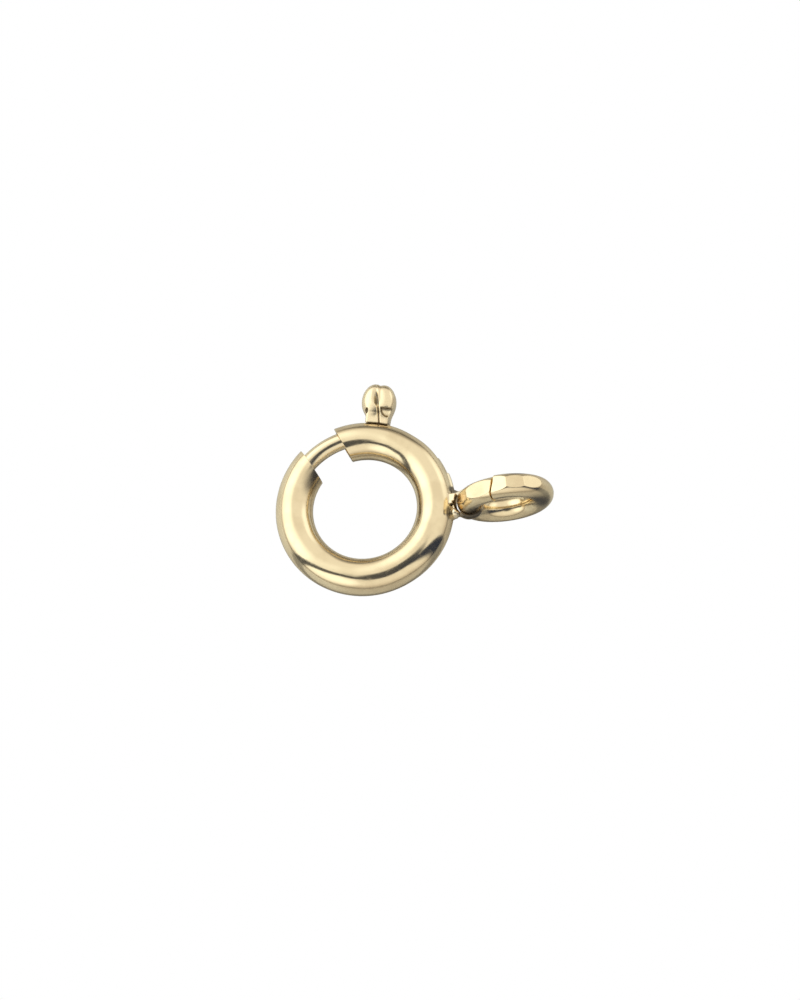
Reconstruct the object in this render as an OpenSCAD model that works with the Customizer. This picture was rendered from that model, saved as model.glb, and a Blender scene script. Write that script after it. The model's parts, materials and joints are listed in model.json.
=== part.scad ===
// Spring ring clasp with its jump ring, lying on a flat surface.
// The main ring's centre is the origin, and its gap opens on the trigger's side.
// All angles called az are measured round the main ring from its eye side, counter-clockwise from above.

/* [Main ring] */
// Outside diameter of the main ring
ring_od = 6.0; // [5.6:0.1:7]
// Diameter of the tube that the main ring is bent from
tube_d = 1.25; // [1.2:0.05:1.4]
// Thickness of the tube's wall
tube_wall = 0.12; // [0.1:0.01:0.13]

/* [Gap] */
// Width of the gap that the bolt closes
gap_w = 1.29; // [1.1:0.05:1.4]
// Direction of the gap's middle
gap_az = 125.8; // [122:0.2:132]
// Angle by which the gap widens outwards on the trigger's side
gap_flare = 4.5; // [0:0.5:8]

/* [Bolt] */
// Diameter of the bolt
bolt_d = 0.58; // [0.5:0.02:0.6]
// Clearance between the bolt and the outer side of the tube's bore
bolt_play = 0.055; // [0.04:0.005:0.07]
// How far the closed bolt reaches into the far end of the tube
bolt_reach = 0.34; // [0.25:0.05:0.5]
// Length of the bolt's tapered tip
tip_l = 0.22; // [0.1:0.01:0.24]
// Diameter of the end of the tip
tip_d = 0.34; // [0.2:0.02:0.4]
// Length of the bolt behind the middle of the trigger
bolt_tail = 0.75; // [0.65:0.05:0.9]
// How far the drawn-back bolt's tip lies behind the gap
open_spare = 0.05; // [0.02:0.01:0.1]

/* [Trigger] */
// Direction of the closed trigger
trigger_az = 84.8; // [82:0.2:87]
// Width of the trigger's stem along the ring
stem_w = 0.77; // [0.6:0.01:0.85]
// Thickness of the stem across the ring
stem_t = 0.36; // [0.3:0.02:0.4]
// Length of stem that shows between the tube and the head
stem_show = 0.15; // [0.12:0.01:0.25]
// Width of the head along the ring
head_w = 1.14; // [1:0.02:1.2]
// Height of the head away from the ring
head_h = 1.14; // [1:0.02:1.24]
// Thickness of the head across the ring
head_t = 0.86; // [0.7:0.02:1]
// Width of the seam between the two leaves
seam_w = 0.035; // [0.02:0.005:0.06]
// Width of the groove over the seam
groove_w = 0.2; // [0.12:0.01:0.26]
// Depth of the groove over the seam
groove_deep = 0.17; // [0.1:0.01:0.2]
// Length of the groove along the head
groove_l = 0.9; // [0.7:0.02:1]
// Depth of the notch where the seam meets the head's outer end
notch_deep = 0.09; // [0.05:0.01:0.12]
// Diameter of the peg that holds the trigger in the bolt
peg_d = 0.3; // [0.24:0.02:0.32]
// Clearance round the peg and under the stem
peg_play = 0.02; // [0.015:0.005:0.03]
// Clearance between the stem and the sides of its slot
slot_play = 0.045; // [0.03:0.005:0.06]

/* [Spring] */
// Diameter of the spring's wire
spring_wire = 0.12; // [0.1:0.01:0.14]
// Clearance between the spring and the tube's bore
spring_play = 0.07; // [0.05:0.005:0.09]
// Number of turns of the spring
spring_turns = 12; // [10:1:14]
// Clearance at each end of the spring
spring_end_play = 0.04; // [0.02:0.01:0.06]
// Direction of the stop that the spring pushes on
stop_az = -68; // [-80:1:-55]
// Thickness of the stop along the tube
stop_t = 0.3; // [0.2:0.02:0.4]

/* [Eye] */
// Direction of the eye
eye_az = 3.3; // [0:0.1:6]
// Clearance between the jump ring's wire and the eye
eye_play = 0.035; // [0.03:0.005:0.06]
// Width of the strap that forms the eye
eye_rim = 0.08; // [0.07:0.01:0.12]
// Height of the strap across the main ring
eye_h = 0.32; // [0.26:0.02:0.4]
// Metal left between the eye's hole and the tube's surface
eye_seat = 0.07; // [0.05:0.01:0.12]
// Width of the solder between the eye and the tube, along the tube
web_w = 1.14; // [1:0.02:1.3]
// Thickness of the saddle that runs along the tube from the eye
saddle_t = 0.05; // [0.04:0.01:0.08]
// Length of the saddle from the middle of the eye towards the trigger
saddle_l = 1.1; // [0.9:0.05:1.3]
// Width of the saddle across the tube
saddle_w = 0.29; // [0.24:0.01:0.34]
// Width of the pad that ties the strap's upper foot to the tube
pad_w = 0.34; // [0.28:0.02:0.4]
// Length of the pad, in from the eye's hole
pad_l = 0.34; // [0.28:0.02:0.4]
// Height of the pad's top above the middle of the tube
pad_h = 0.44; // [0.36:0.02:0.5]
// Distance of the pad's middle from the eye's middle line, towards the trigger
pad_side = 0.085; // [0.05:0.005:0.1]
// Diameter of the knob of solder at the strap's lower foot
knob_d = 0.5; // [0.42:0.02:0.54]
// Distance of the knob's middle from the eye's middle line
knob_side = 0.35; // [0.3:0.01:0.4]
// Height of the knob's middle above the middle of the tube
knob_up = 0.2; // [0.12:0.02:0.24]
// Distance of the knob's middle past the inner side of the eye's hole
knob_out = 0.05; // [0:0.01:0.08]
// How far the knob's top is cut back from the eye's hole, so that the jump ring swings past it
knob_relief = 0.12; // [0.1:0.01:0.16]

/* [Jump ring] */
// Outside diameter of the jump ring
jump_od = 3.24; // [3:0.02:3.8]
// Diameter of the jump ring's wire
jump_wire = 0.8; // [0.7:0.02:0.86]
// Turn of the jump ring from straight out of the eye
jump_swing = 6.3; // [-10:0.1:10]
// Turn of the jump ring's split from its top, towards the main ring
split_turn = 19.5; // [10:0.5:30]
// Width of the split
split_w = 0.02; // [0.015:0.005:0.04]

/* [Resting] */
// Direction in which the main ring is lifted by the jump ring under it
lift_az = -9; // [-14:0.5:0]

/* [Hidden] */
$fn = 96;
head_fn = 28;
// Overshoot of the cuts
spare = 0.5;

ring_r = (ring_od - tube_d) / 2;
bore_d = tube_d - 2 * tube_wall;
gap_turn = 2 * asin(gap_w / 2 / ring_r);
gap_far_az = gap_az + gap_turn / 2;

bolt_r = ring_r + (bore_d - bolt_d) / 2 - bolt_play;
reach_turn = turn_of(bolt_reach - tip_l, bolt_r);
tail_turn = turn_of(bolt_tail, bolt_r);
bolt_tip_az = gap_far_az + reach_turn;
bolt_tail_az = trigger_az - tail_turn;
open_turn = gap_turn + turn_of(bolt_reach + open_spare, bolt_r);

stem_foot_r = bolt_r + bolt_d / 2 + peg_play;
head_r = ring_od / 2 + stem_show + head_h / 2;
slot_h = stem_t + 2 * slot_play;
slot_turn = turn_of(stem_w / 2 + slot_play, stem_foot_r);

spring_r = bore_d / 2 - spring_play - spring_wire / 2;
spring_from_az = stop_az + turn_of(stop_t / 2 + spring_end_play + spring_wire / 2, ring_r);
spring_to_az = bolt_tail_az - turn_of(spring_end_play + spring_wire / 2, ring_r);
spring_sides = 6;
spring_steps = 12;

eye_hole_d = jump_wire + 2 * eye_play;
eye_r = ring_od / 2 + eye_seat + eye_hole_d / 2;
eye_out_d = eye_hole_d + 2 * eye_rim;
saddle_turn = turn_of(saddle_l, ring_od / 2);

jump_r = (jump_od - jump_wire) / 2;
jump_az = eye_az + jump_swing;
jump_x = eye_r * cos(eye_az) + jump_r * cos(jump_az);
jump_y = eye_r * sin(eye_az) + jump_r * sin(jump_az);
// The jump ring stands on its edge, so it lifts the ring on its side until both touch the surface
lift_span = ring_r + jump_x * cos(lift_az) + jump_y * sin(lift_az);
lift = asin((jump_od - tube_d) / 2 / lift_span);

// Place across and along the head and radius of each hollow in the head's leaves, in shares of half
// the head's height
hollows = [
    // [across, along, size]
    [0.5, -0.62, 0.2],
    [-0.5, -0.62, 0.34],
];

// Angle from the top towards the main ring, depth in the wire, and roll towards the trigger's side,
// of each flat that a tool left on the jump ring
flats = [
    // [turn, deep, roll]
    [35, 0.12, 22],
    [11, 0.11, 22],
    [-8, 0.11, 22],
    [-26, 0.1, 20],
];

// Angle that a length along a circle of radius r spans
function turn_of(length, r) = length / r * 180 / PI;

// Turns a piece from the main ring's own plane to the pose that it lies in
module lie() {
    rotate(a = lift, v = [sin(lift_az), -cos(lift_az), 0])
        children();
}

// Bends a flat section round the main ring's axis, from one direction to another
module bend(from_az, to_az, r) {
    rotate([0, 0, from_az])
        rotate_extrude(angle = to_az - from_az)
            translate([r, 0])
                children();
}

module eye_metal() {
    rotate([0, 0, eye_az]) {
        translate([eye_r, 0, 0])
            cylinder(d = eye_out_d, h = eye_h, center = true);
        translate([0, 0, -eye_h / 2])
            linear_extrude(height = eye_h)
                polygon([
                    [ring_od / 2 - tube_wall, -web_w / 2],
                    [eye_r, -eye_out_d / 4],
                    [eye_r, eye_out_d / 4],
                    [ring_od / 2 - tube_wall, web_w / 2],
                ]);
        translate([ring_od / 2 + eye_seat - pad_l, pad_side - pad_w / 2, 0])
            cube([pad_l, pad_w, pad_h]);
        knob();
    }
    bend(eye_az, eye_az + saddle_turn, ring_od / 2)
        square([2 * saddle_t, saddle_w], center = true);
}

// A drop of solder beside the strap, worn back where the jump ring passes over it
module knob() {
    knob_top = knob_up + knob_d / 2;
    difference() {
        translate([ring_od / 2 + eye_seat + knob_out, -knob_side, knob_up])
            sphere(d = knob_d);
        translate([eye_r, 0, eye_h / 2])
            cylinder(d1 = eye_hole_d, d2 = eye_hole_d + 2 * knob_relief, h = knob_top - eye_h / 2);
    }
}

module eye_hole() {
    rotate([0, 0, eye_az])
        translate([eye_r, 0, 0])
            cylinder(d = eye_hole_d, h = tube_d, center = true);
}

module tube_bore() {
    half_stop = turn_of(stop_t / 2, ring_r);
    bend(stop_az + half_stop, stop_az + 360 - half_stop, ring_r)
        circle(d = bore_d);
}

module gap() {
    reach = tube_d / 2 + spare;
    flare = reach * tan(gap_flare);
    rotate([0, 0, gap_az])
        translate([ring_r, 0, -tube_d])
            linear_extrude(height = 2 * tube_d)
                polygon([
                    [-reach, gap_w / 2],
                    [-reach, -gap_w / 2 + flare],
                    [reach, -gap_w / 2 - flare],
                    [reach, gap_w / 2],
                ]);
}

// The stem slides along this slot in the tube's outer wall as the bolt draws back
module stem_slot() {
    bend(trigger_az - open_turn - slot_turn, trigger_az + slot_turn, ring_od / 2)
        square([tube_d / 2, slot_h], center = true);
}

module ring_body() {
    color("khaki")
        lie()
            difference() {
                union() {
                    rotate_extrude()
                        translate([ring_r, 0])
                            circle(d = tube_d);
                    eye_metal();
                }
                tube_bore();
                gap();
                stem_slot();
                eye_hole();
            }
}

module bolt() {
    color("palegoldenrod")
        lie()
            difference() {
                union() {
                    bend(bolt_tail_az, bolt_tip_az, bolt_r)
                        circle(d = bolt_d);
                    rotate([0, 0, bolt_tip_az])
                        translate([bolt_r, 0, 0])
                            rotate([-90, 0, 0])
                                cylinder(d1 = bolt_d, d2 = tip_d, h = tip_l);
                }
                rotate([0, 0, trigger_az])
                    translate([bolt_r, 0, 0])
                        rotate([0, 90, 0])
                            cylinder(d = peg_d + 2 * peg_play, h = bolt_d + spare, center = true);
            }
}

module trigger_stem() {
    difference() {
        translate([bolt_r, -stem_w / 2, -stem_t / 2])
            cube([head_r - bolt_r, stem_w, stem_t]);
        rotate([0, 0, -trigger_az])
            bend(trigger_az - 2 * slot_turn, trigger_az + 2 * slot_turn, bolt_r)
                circle(d = bolt_d + 2 * peg_play);
        translate([ring_od / 2, -seam_w / 2, -stem_t])
            cube([head_h, seam_w, 2 * stem_t]);
    }
    translate([bolt_r - bolt_d / 2 + peg_play, 0, 0])
        rotate([0, 90, 0])
            cylinder(d = peg_d, h = bolt_d + 2 * peg_play);
}

// Two domed leaves that meet at a seam, grooved on both faces and hollow underneath
module trigger_head() {
    ball = head_h / 2;
    resize([head_h, head_w, head_t])
        difference() {
            sphere(r = ball, $fn = head_fn);
            for (face = [-1, 1])
                translate([0, 0, face * ball])
                    scale([groove_l / head_h, groove_w / head_w, 2 * groove_deep / head_t])
                        sphere(r = ball, $fn = head_fn);
            translate([ball, 0, 0])
                scale([2 * notch_deep / head_h, groove_w / 2 / head_w, 1])
                    sphere(r = ball, $fn = head_fn);
            for (h = hollows)
                translate([h[1] * ball, h[0] * ball, ball / 2])
                    sphere(r = h[2] * ball, $fn = head_fn / 2);
        }
}

module trigger() {
    color("gold")
        lie()
            rotate([0, 0, trigger_az]) {
                trigger_stem();
                translate([head_r, 0, 0])
                    trigger_head();
            }
}

// A point on the spring's wire: turn counts the steps of the coil and side the corners of the wire
function spring_point(turn, side) =
    let (
        coil = 360 * turn / spring_steps,
        share = turn / (spring_turns * spring_steps),
        corner = 360 * side / spring_sides,
        out = spring_r + spring_wire / 2 * cos(corner),
        along = turn_of(spring_wire / 2 * sin(corner), ring_r),
        az = spring_from_az + share * (spring_to_az - spring_from_az) + along,
        r = ring_r + out * cos(coil)
    )
    [r * cos(az), r * sin(az), out * sin(coil)];

module spring() {
    last = spring_turns * spring_steps;
    points = [for (t = [0:last]) for (s = [0:spring_sides - 1]) spring_point(t, s)];
    first_cap = [for (s = [0:spring_sides - 1]) s];
    last_cap = [for (s = [spring_sides - 1:-1:0]) last * spring_sides + s];
    walls = [
        for (t = [0:last - 1])
            for (s = [0:spring_sides - 1])
                let (
                    a = t * spring_sides + s,
                    b = t * spring_sides + (s + 1) % spring_sides
                )
                each [[a, a + spring_sides, b], [b, a + spring_sides, b + spring_sides]]
    ];
    color("silver")
        lie()
            polyhedron(points, concat([first_cap], walls, [last_cap]));
}

module jump_ring() {
    color("lemonchiffon")
        lie()
            rotate([0, 0, eye_az])
                translate([eye_r, 0, 0])
                    rotate([0, 0, jump_swing])
                        translate([jump_r, 0, 0])
                            rotate([90, 0, 0])
                                difference() {
                                    rotate_extrude()
                                        translate([jump_r, 0])
                                            circle(d = jump_wire);
                                    jump_split();
                                    for (f = flats)
                                        jump_flat(f[0], f[1], f[2]);
                                }
}

module jump_split() {
    rotate([0, 0, 90 + split_turn])
        translate([jump_r, 0, 0])
            cube([jump_wire + spare, split_w, jump_wire + spare], center = true);
}

module jump_flat(turn, deep, roll) {
    rotate([0, 0, 90 + turn])
        translate([jump_r, 0, 0])
            rotate([0, roll, 0])
                translate([jump_wire - deep, 0, 0])
                    cube([jump_wire, jump_od, 2 * jump_wire], center = true);
}

ring_body();
bolt();
trigger();
spring();
jump_ring();
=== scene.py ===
"""A spring ring clasp with its jump ring, lying on a white table in a soft tent of light.

Shapes are worked out in millimetres in the main ring's own frame: its middle is the origin, its axis
is Z, and azimuths run round it in degrees from X. lay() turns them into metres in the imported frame.
"""
import json
import math
from itertools import product

import bmesh
import bpy
import numpy as np
from mathutils import Matrix, Vector


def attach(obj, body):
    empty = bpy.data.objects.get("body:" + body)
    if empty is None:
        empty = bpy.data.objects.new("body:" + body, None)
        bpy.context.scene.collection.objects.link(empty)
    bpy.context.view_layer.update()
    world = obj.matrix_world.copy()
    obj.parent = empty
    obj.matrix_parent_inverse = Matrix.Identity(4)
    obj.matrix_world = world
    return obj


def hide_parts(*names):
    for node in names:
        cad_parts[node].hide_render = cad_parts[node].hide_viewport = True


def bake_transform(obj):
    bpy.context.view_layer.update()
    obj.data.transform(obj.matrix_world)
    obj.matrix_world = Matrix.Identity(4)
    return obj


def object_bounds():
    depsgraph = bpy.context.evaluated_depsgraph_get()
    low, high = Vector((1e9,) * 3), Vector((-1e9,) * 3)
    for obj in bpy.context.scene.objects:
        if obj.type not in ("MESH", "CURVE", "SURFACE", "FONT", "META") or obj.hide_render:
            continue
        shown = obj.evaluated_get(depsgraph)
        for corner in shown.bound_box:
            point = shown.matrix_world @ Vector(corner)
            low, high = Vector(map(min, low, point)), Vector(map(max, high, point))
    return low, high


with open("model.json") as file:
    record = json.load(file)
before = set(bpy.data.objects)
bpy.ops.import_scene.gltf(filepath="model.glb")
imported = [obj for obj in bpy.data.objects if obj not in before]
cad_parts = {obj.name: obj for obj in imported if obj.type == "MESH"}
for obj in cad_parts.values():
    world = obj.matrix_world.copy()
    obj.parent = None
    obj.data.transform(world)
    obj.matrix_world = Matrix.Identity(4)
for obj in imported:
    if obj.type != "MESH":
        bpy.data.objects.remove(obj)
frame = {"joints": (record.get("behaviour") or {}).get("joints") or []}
CAD_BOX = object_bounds()
JOINTS = {joint["name"]: joint for joint in frame["joints"]}

# Sizes of the clasp, in millimetres and degrees
MM = 0.001
RING_OD = 6.0
TUBE_D = 1.25
TUBE_WALL = 0.12
GAP_W = 1.29
GAP_AZ = 125.8
GAP_FLARE = 4.5
BOLT_D = 0.58
BOLT_PLAY = 0.055
BOLT_REACH = 0.34
BOLT_TAIL = 0.75
TIP_L = 0.22
TIP_D = 0.34
TRIGGER_AZ = 84.8
STEM_W = 0.77
STEM_T = 0.36
STEM_SHOW = 0.15
HEAD_W = 1.14
HEAD_H = 1.14
HEAD_T = 0.86
PEG_D = 0.3
PEG_PLAY = 0.02
SLOT_PLAY = 0.045
SPRING_WIRE = 0.12
SPRING_PLAY = 0.07
SPRING_TURNS = 12
SPRING_END_PLAY = 0.04
STOP_AZ = -68.0
STOP_T = 0.3
EYE_AZ = 3.3
EYE_PLAY = 0.035
EYE_RIM = 0.08
EYE_H = 0.32
EYE_SEAT = 0.07
JUMP_OD = 3.24
JUMP_WIRE = 0.8
JUMP_SWING = 6.3

# Sizes that follow from them
RING_R = (RING_OD - TUBE_D) / 2
TUBE_R = TUBE_D / 2
BORE_R = TUBE_R - TUBE_WALL
BOLT_R = RING_R + BORE_R - BOLT_D / 2 - BOLT_PLAY
HEAD_R = RING_OD / 2 + STEM_SHOW + HEAD_H / 2
SLOT_H = STEM_T + 2 * SLOT_PLAY
EYE_HOLE_R = JUMP_WIRE / 2 + EYE_PLAY
EYE_R = RING_OD / 2 + EYE_SEAT + EYE_HOLE_R
EYE_OUT_R = EYE_HOLE_R + EYE_RIM
JUMP_R = (JUMP_OD - JUMP_WIRE) / 2
JUMP_AZ = EYE_AZ + JUMP_SWING
WIRE_R = JUMP_WIRE / 2
BOLT_OPEN = -JOINTS["bolt_turn"]["range_deg"][0]

# The pose that the clasp lies in, from the main ring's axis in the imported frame
RING_AXIS = Vector(JOINTS["bolt_turn"]["axis"]).normalized()
LIFT = math.acos(RING_AXIS.z)
LIFT_AZ = math.atan2(-RING_AXIS.y, -RING_AXIS.x)
LYING = np.array(Matrix.Rotation(LIFT, 3, Vector((math.sin(LIFT_AZ), -math.cos(LIFT_AZ), 0))))


def lay(points):
    """Points of the ring's own frame, in millimetres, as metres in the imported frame."""
    return np.asarray(points, float).reshape(-1, 3) @ LYING.T * MM


def turn_of(length, radius):
    """Degrees that a length along a circle spans."""
    return math.degrees(length / radius)


def unit(az):
    """The direction at an azimuth in the ring's plane."""
    a = math.radians(az)
    return np.array([math.cos(a), math.sin(a), 0.0])


def turned(p, az):
    """Points in a frame that stands at an azimuth: out from the ring, round it, and up."""
    a = math.radians(az)
    out = p[..., 0] * math.cos(a) + p[..., 1] * math.sin(a)
    side = -p[..., 0] * math.sin(a) + p[..., 1] * math.cos(a)
    return np.stack([out, side, p[..., 2]], -1)


def ease(x, low, high):
    """0 below low, 1 above high, and a smooth step between."""
    t = np.clip((x - low) / (high - low), 0, 1)
    return t * t * (3 - 2 * t)


def painted_dark_at(along, around, dark_patches):
    """How dark each place is painted, as painted shade and dark reflections: its own strongest patch,
    strong in the middle and soft at the edge.
    """
    dark = np.zeros(np.broadcast(along, around).shape)
    for middle, round_middle, reach, round_reach, strength in dark_patches:
        far = ((along - middle) / reach) ** 2 + ((around - round_middle) / round_reach) ** 2
        dark = np.maximum(dark, strength * np.exp(-far ** 2))
    return dark


# Meshes

EDGE_ROUND = 0.022
EDGE_ANGLE = 45.0
EDGE_STEPS = 3


def make_mesh(name, points, faces, material, grime=None):
    """A smooth mesh object from points in the ring's frame, with its faces turned outwards."""
    mesh = bpy.data.meshes.new(name)
    mesh.from_pydata(lay(points).tolist(), [], [list(map(int, f)) for f in faces])
    mesh.materials.append(material)
    # Each point's share of painted shade and painted dark reflections, which darken the metal's colour
    layer = mesh.attributes.new("grime", "FLOAT", "POINT")
    if grime is not None:
        layer.data.foreach_set("value", np.ascontiguousarray(grime, np.float32).ravel())
    build = bmesh.new()
    build.from_mesh(mesh)
    bmesh.ops.recalc_face_normals(build, faces=build.faces)
    for face in build.faces:
        face.smooth = True
    build.to_mesh(mesh)
    build.free()
    piece = bpy.data.objects.new(name, mesh)
    bpy.context.collection.objects.link(piece)
    return piece


def soften(piece):
    """Rounds a piece's sharp edges, as polishing does."""
    bevel = piece.modifiers.new("Edges", "BEVEL")
    bevel.width = EDGE_ROUND * MM
    bevel.segments = EDGE_STEPS
    bevel.limit_method = "ANGLE"
    bevel.angle_limit = math.radians(EDGE_ANGLE)
    bevel.harden_normals = True


def bake(piece):
    """Replaces a piece's mesh by what its modifiers make of it."""
    graph = bpy.context.evaluated_depsgraph_get()
    done = bpy.data.meshes.new_from_object(piece.evaluated_get(graph))
    piece.modifiers.clear()
    piece.data = done


def settle(piece, body, slot, *nodes):
    """Fixes a finished piece to its body and hides the solids that it stands for. The slot for its finish
    is not used.
    """
    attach(piece, body)
    if nodes:
        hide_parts(*nodes)


def swept(points):
    """Points and faces of a rod from its rings of points, closed by a face at each end."""
    rings, sides = points.shape[:2]
    i, j = np.meshgrid(np.arange(rings - 1), np.arange(sides), indexing="ij")
    k = (j + 1) % sides
    here = i * sides
    there = here + sides
    faces = np.stack([here + j, there + j, there + k, here + k], -1).reshape(-1, 4).tolist()
    faces.append(list(range(sides)))
    faces.append([(rings - 1) * sides + j for j in range(sides)])
    return points.reshape(-1, 3), faces


# Fields: below zero inside a form and above zero outside, in millimetres from its surface

SKIN_STEP = 0.016
SKIN_ROUNDS = 3
PROBE = 0.05
LEAST_SLOPE = 0.05
TINY = 1e-12


def smooth_min(a, b, reach):
    """The lesser of two fields, blended where they are within reach of each other."""
    h = np.clip(0.5 + (b - a) / (2 * reach), 0, 1)
    return b + (a - b) * h - reach * h * (1 - h)


def smooth_max(a, b, reach):
    """The greater of two fields, blended in the same way."""
    return -smooth_min(-a, -b, reach)


def ball_field(p, middle, radii):
    """Rough distance to an ellipsoid."""
    q = (p - np.array(middle)) / np.array(radii)
    return (np.linalg.norm(q, axis=-1) - 1) * min(radii)


def box_field(p, low, high, rounding):
    """Distance to a box with rounded edges."""
    middle = (np.array(low) + np.array(high)) / 2
    half = (np.array(high) - np.array(low)) / 2 - rounding
    q = np.abs(p - middle) - half
    outside = np.linalg.norm(np.maximum(q, 0), axis=-1)
    return outside + np.minimum(q.max(-1), 0) - rounding


def tube_field(p):
    """Distance to the outside of the main ring's tube."""
    out = np.hypot(p[..., 0], p[..., 1]) - RING_R
    return np.hypot(out, p[..., 2]) - TUBE_R


def skin(field, low, high):
    """Points and quads of a field's surface between two corners."""
    axes = [np.arange(a, b + SKIN_STEP, SKIN_STEP) for a, b in zip(low, high)]
    inside = field(np.stack(np.meshgrid(*axes, indexing="ij"), -1)) < 0
    cells = tuple(n - 1 for n in inside.shape)
    corners = [
        inside[i:i + cells[0], j:j + cells[1], k:k + cells[2]]
        for i, j, k in product((0, 1), repeat=3)
    ]
    mixed = np.any(corners, axis=0) & ~np.all(corners, axis=0)
    index = np.full(cells, -1)
    index[mixed] = np.arange(mixed.sum())
    points = (np.argwhere(mixed) + 0.5) * SKIN_STEP + np.array(low)
    quads = []
    for axis in range(3):
        side = np.moveaxis(inside, axis, 0)
        cell = np.moveaxis(index, axis, 0)
        i, j, k = np.nonzero(side[:-1, 1:-1, 1:-1] != side[1:, 1:-1, 1:-1])
        corner_cells = [cell[i, j, k], cell[i, j + 1, k], cell[i, j + 1, k + 1], cell[i, j, k + 1]]
        quads.append(np.stack(corner_cells, -1))
    quads = np.concatenate(quads)
    for _ in range(SKIN_ROUNDS):
        points = pull(field, points)
        points = relax(points, quads)
    for _ in range(SKIN_ROUNDS):
        points = pull(field, points)
    return points, quads.tolist()


def pull(field, points):
    """Moves points onto a field's surface along its slope."""
    gap = SKIN_STEP * PROBE
    here = field(points)
    rises = [field(points + way) - field(points - way) for way in gap * np.eye(3)]
    slope = np.stack(rises, -1) / (2 * gap)
    size = np.maximum((slope ** 2).sum(-1), LEAST_SLOPE)
    move = -(here / size)[:, None] * slope
    length = np.maximum(np.linalg.norm(move, axis=-1, keepdims=True), TINY)
    return points + move * np.minimum(1, SKIN_STEP / length)


def relax(points, quads):
    """Moves each point halfway to the middle of its neighbours."""
    total = np.zeros_like(points)
    count = np.zeros(len(points))
    for a, b in ((0, 1), (1, 2), (2, 3), (3, 0)):
        for one, other in ((a, b), (b, a)):
            np.add.at(total, quads[:, one], points[quads[:, other]])
            np.add.at(count, quads[:, one], 1)
    return (points + total / np.maximum(count, 1)[:, None]) / 2


# Main ring: a hollow tube bent round, cut by the gap, with the slot that the trigger slides in

SLOT_TURN = turn_of(STEM_W / 2 + SLOT_PLAY, BOLT_R + BOLT_D / 2 + PEG_PLAY)
SLOT_LOW = 360 + TRIGGER_AZ - BOLT_OPEN - SLOT_TURN
SLOT_HIGH = 360 + TRIGGER_AZ + SLOT_TURN

# Points round the tube and across its slot, and rings of points along each stretch of it
TUBE_ROWS = 96
SLOT_ROWS = 12
END_COLUMNS = 13
LONG_COLUMNS = 330
SLOT_COLUMNS = 90
SHORT_COLUMNS = 12
# The stretch between the gap's ends where the rings of points stand square to the tube
SQUARE_FROM = 155
SQUARE_TO = 462
GAP_ROUNDS = 6
STOP_DEEP = TUBE_WALL / 3
STOP_RINGS = 5
STOP_SIDES = 48

# Each dent and lump: azimuth, angle round the tube, reach along the tube, reach round it, height
DENTS = [
    (57.0, 35.0, 0.5, 0.45, -0.022),
    (48.0, 20.0, 0.4, 0.4, 0.01),
    (301.0, 20.0, 0.6, 0.5, -0.018),
    (288.0, 60.0, 0.7, 0.5, 0.008),
    (215.0, 110.0, 1.0, 0.5, 0.006),
    (160.0, 50.0, 0.8, 0.6, -0.006),
    (20.0, 120.0, 0.9, 0.5, 0.006),
    (250.0, 45.0, 0.8, 0.4, -0.006),
]
# Limits of the small waves that are drawn at random
WAVES = 40
WAVE_SEED = 7
WAVE_AZ = (140, 460)
WAVE_AROUND = (15, 150)
WAVE_ALONG = (0.25, 0.6)
WAVE_ACROSS = (0.2, 0.4)
WAVE_HEIGHT = (0.003, 0.009)
# Each painted dark reflection: azimuth, angle round the tube, reach of both, strength
TUBE_PAINTED_REFLECTIONS = [
    (153.0, 131.0, 15.0, 22.0, 0.6),
]


def small_waves():
    """Small dents and lumps all round the tube."""
    rng = np.random.default_rng(WAVE_SEED)
    waves = []
    for _ in range(WAVES):
        az = rng.uniform(*WAVE_AZ) % 360
        around = rng.uniform(*WAVE_AROUND)
        along = rng.uniform(*WAVE_ALONG)
        across = rng.uniform(*WAVE_ACROSS)
        height = rng.choice((-1, 1)) * rng.uniform(*WAVE_HEIGHT)
        waves.append((az, around, along, across, height))
    return waves


def dent_height(az, around, dents):
    """How far the tube's surface stands out or in at a place."""
    height = np.zeros(np.broadcast(az, around).shape)
    for dent_az, dent_around, along, across, deep in dents:
        far_along = np.radians((az - dent_az + 180) % 360 - 180) * RING_R / along
        far_across = np.radians((around - dent_around + 180) % 360 - 180) * TUBE_R / across
        height = height + deep * np.exp(-far_along ** 2 - far_across ** 2)
    return height


def on_tube(az, around, r):
    """Points at an azimuth, an angle round the tube from its outer side over the top, and a radius."""
    a = np.radians(az)
    b = np.radians(around)
    rho = RING_R + r * np.cos(b)
    return np.stack([rho * np.cos(a), rho * np.sin(a), r * np.sin(b)], -1)


def gap_ends(around, r):
    """Azimuths at which a row round the tube starts past the gap and stops before it."""
    rho = RING_R + r * np.cos(np.radians(around))
    start = GAP_AZ + np.degrees(np.arcsin(GAP_W / 2 / rho))
    turn = np.zeros_like(rho)
    for _ in range(GAP_ROUNDS):
        lean = (rho * np.cos(turn) - RING_R) * math.tan(math.radians(GAP_FLARE))
        turn = np.arcsin((-GAP_W / 2 - lean) / rho)
    return start, GAP_AZ + 360 + np.degrees(turn)


def tube_rows(slot_edge):
    """Angles round the tube, with a row at each edge of the slot."""
    across = np.linspace(-slot_edge, slot_edge, SLOT_ROWS)
    rest = np.linspace(slot_edge, 360 - slot_edge, TUBE_ROWS - SLOT_ROWS + 2)[1:-1]
    return np.concatenate([across, rest])


def tube_shell(r, columns, dents):
    """Rings of points at a radius in the tube, leaning over to the gap's ends at both ends."""
    rows = tube_rows(math.degrees(math.asin(SLOT_H / 2 / r)))
    start, stop = gap_ends(rows, r)
    lead = np.linspace(0, 1, END_COLUMNS + 1)[:-1, None]
    az = np.concatenate([
        start + lead * (columns[0] - start),
        np.repeat(columns[:, None], len(rows), axis=1),
        columns[-1] + np.flip(1 - lead, 0) * (stop - columns[-1]),
    ])
    return on_tube(az, np.broadcast_to(rows, az.shape), r + dent_height(az, rows[None, :], dents))


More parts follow.
